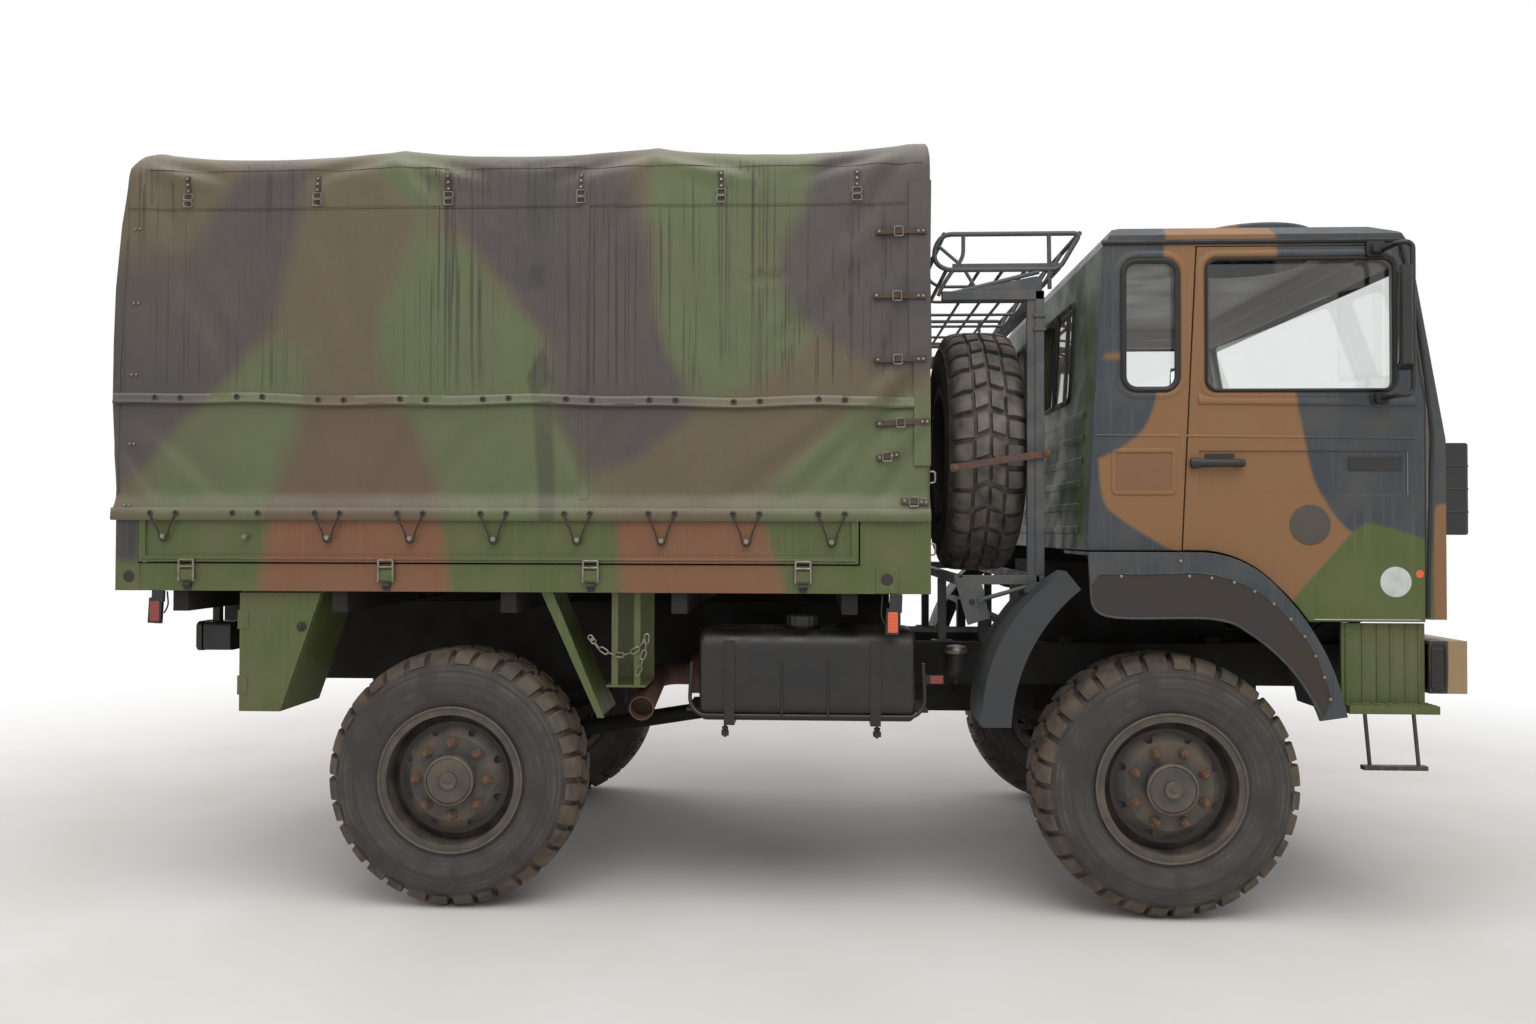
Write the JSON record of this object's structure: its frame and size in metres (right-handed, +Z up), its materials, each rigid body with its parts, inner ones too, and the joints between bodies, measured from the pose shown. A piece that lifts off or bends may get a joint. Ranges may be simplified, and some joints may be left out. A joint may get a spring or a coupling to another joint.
{
  "type": "military cargo truck",
  "caption": "Light four-wheel-drive military cargo truck with forward cab, canvas covered load bed, spare wheel behind the cab and camouflage paint.",
  "frame": {"origin": "on the ground below the middle of the truck", "axes": "+X forward, +Y to the truck's left, +Z up"},
  "size_m": [5.2, 2.5702, 2.976],
  "materials": {
    "bare_steel": "worn steel",
    "camo_paint": "matt camouflage paint",
    "canvas": "coated canvas in camouflage",
    "chassis_paint": "matt black chassis paint",
    "lamp": "lamp lens",
    "rim_paint": "dull dark grey paint",
    "seat_cloth": "dark seat cloth",
    "trim": "black plastic",
    "tyre": "dusty black rubber",
    "window": "clear glass"
  },
  "bodies": {
    "chassis": {"frame_rails": "chassis_paint", "front_axle": "chassis_paint", "rear_axle": "chassis_paint", "leaf_springs": "chassis_paint", "driveline": "chassis_paint", "exhaust": "bare_steel", "fuel_tank": "chassis_paint", "bed_floor": "camo_paint", "bed_panels": "camo_paint", "bed_bearers": "chassis_paint", "bed_sills": "chassis_paint", "drop_sides": "camo_paint", "cover_bows": "camo_paint", "cargo_cover": "canvas", "wheelhouse_panels": "camo_paint", "tool_lockers": "camo_paint", "marker_lamps": "lamp", "bumper": "camo_paint", "headlamps": "lamp", "mudguards": "chassis_paint", "cab_steps": "camo_paint", "spare_carrier": "chassis_paint", "rim_spare": "rim_paint", "tyre_spare": "tyre"},
    "cab": {"cab_floor": "camo_paint", "cab_rear_wall": "camo_paint", "cab_side_panels": "camo_paint", "cab_front_wall": "camo_paint", "cab_roof": "camo_paint", "cab_glass": "window", "grille": "trim", "front_arches": "camo_paint", "seats": "seat_cloth", "dashboard": "trim"},
    "door_right": {"door_right": "camo_paint", "door_glass_right": "window", "mirror_right": "trim"},
    "door_left": {"door_left": "camo_paint", "door_glass_left": "window", "mirror_left": "trim"},
    "roof_hatch": {"roof_hatch": "camo_paint"},
    "tailgate": {"tailgate": "camo_paint"},
    "locker_door_right": {"locker_door_right": "camo_paint"},
    "locker_door_left": {"locker_door_left": "camo_paint"},
    "knuckle_right": {"knuckle_right": "chassis_paint"},
    "knuckle_left": {"knuckle_left": "chassis_paint"},
    "tie_rod": {"tie_rod": "bare_steel"},
    "wheel_front_right": {"rim_front_right": "rim_paint", "tyre_front_right": "tyre"},
    "wheel_front_left": {"rim_front_left": "rim_paint", "tyre_front_left": "tyre"},
    "wheel_rear_right": {"rim_rear_right": "rim_paint", "tyre_rear_right": "tyre"},
    "wheel_rear_left": {"rim_rear_left": "rim_paint", "tyre_rear_left": "tyre"}
  },
  "joints": [
    {"name": "cab_tilt", "type": "hinge", "parent": "chassis", "child": "cab", "pos_m": [2.483, 0, 1.1], "axis": [0, 1, 0], "range_deg": [0, 50]},
    {"name": "door_right_swing", "type": "hinge", "parent": "cab", "child": "door_right", "pos_m": [2.423, -1.062, 1.8], "axis": [0, 0, 1], "range_deg": [0, 75]},
    {"name": "door_left_swing", "type": "hinge", "parent": "cab", "child": "door_left", "pos_m": [2.423, 1.062, 1.8], "axis": [0, 0, -1], "range_deg": [0, 75]},
    {"name": "hatch_lift", "type": "hinge", "parent": "cab", "child": "roof_hatch", "pos_m": [1.693, -0.52, 2.69], "axis": [0, -1, 0], "range_deg": [0, 110]},
    {"name": "tailgate_drop", "type": "hinge", "parent": "chassis", "child": "tailgate", "pos_m": [-2.57, 0, 1.341], "axis": [0, -1, 0], "range_deg": [0, 180]},
    {"name": "locker_right_swing", "type": "hinge", "parent": "chassis", "child": "locker_door_right", "pos_m": [-2.082, -1.062, 0.99], "axis": [0, 0, -1], "range_deg": [0, 110]},
    {"name": "locker_left_swing", "type": "hinge", "parent": "chassis", "child": "locker_door_left", "pos_m": [-2.082, 1.062, 0.99], "axis": [0, 0, 1], "range_deg": [0, 110]},
    {"name": "steer", "type": "hinge", "parent": "chassis", "child": "knuckle_right", "pos_m": [1.498, -0.69, 0.5], "axis": [0, 0, 1], "range_deg": [-30, 30]},
    {"name": "steer_left", "type": "hinge", "parent": "chassis", "child": "knuckle_left", "pos_m": [1.498, 0.69, 0.5], "axis": [0, 0, 1], "range_deg": [-30, 30]},
    {"name": "tie_rod_swing", "type": "hinge", "parent": "knuckle_right", "child": "tie_rod", "pos_m": [1.278, -0.69, 0.4], "axis": [0, 0, 1], "range_deg": [-30, 30]},
    {"name": "wheel_front_right_spin", "type": "hinge", "parent": "knuckle_right", "child": "wheel_front_right", "pos_m": [1.498, -0.9, 0.5], "axis": [0, 1, 0], "continuous": true},
    {"name": "wheel_front_left_spin", "type": "hinge", "parent": "knuckle_left", "child": "wheel_front_left", "pos_m": [1.498, 0.9, 0.5], "axis": [0, 1, 0], "continuous": true},
    {"name": "wheel_rear_right_spin", "type": "hinge", "parent": "chassis", "child": "wheel_rear_right", "pos_m": [-1.252, -0.9, 0.5], "axis": [0, 1, 0], "continuous": true},
    {"name": "wheel_rear_left_spin", "type": "hinge", "parent": "chassis", "child": "wheel_rear_left", "pos_m": [-1.252, 0.9, 0.5], "axis": [0, 1, 0], "continuous": true}
  ],
  "couplings": [
    {"joint": "steer_left", "follows": "steer", "ratio": 1},
    {"joint": "tie_rod_swing", "follows": "steer", "ratio": -1}
  ]
}
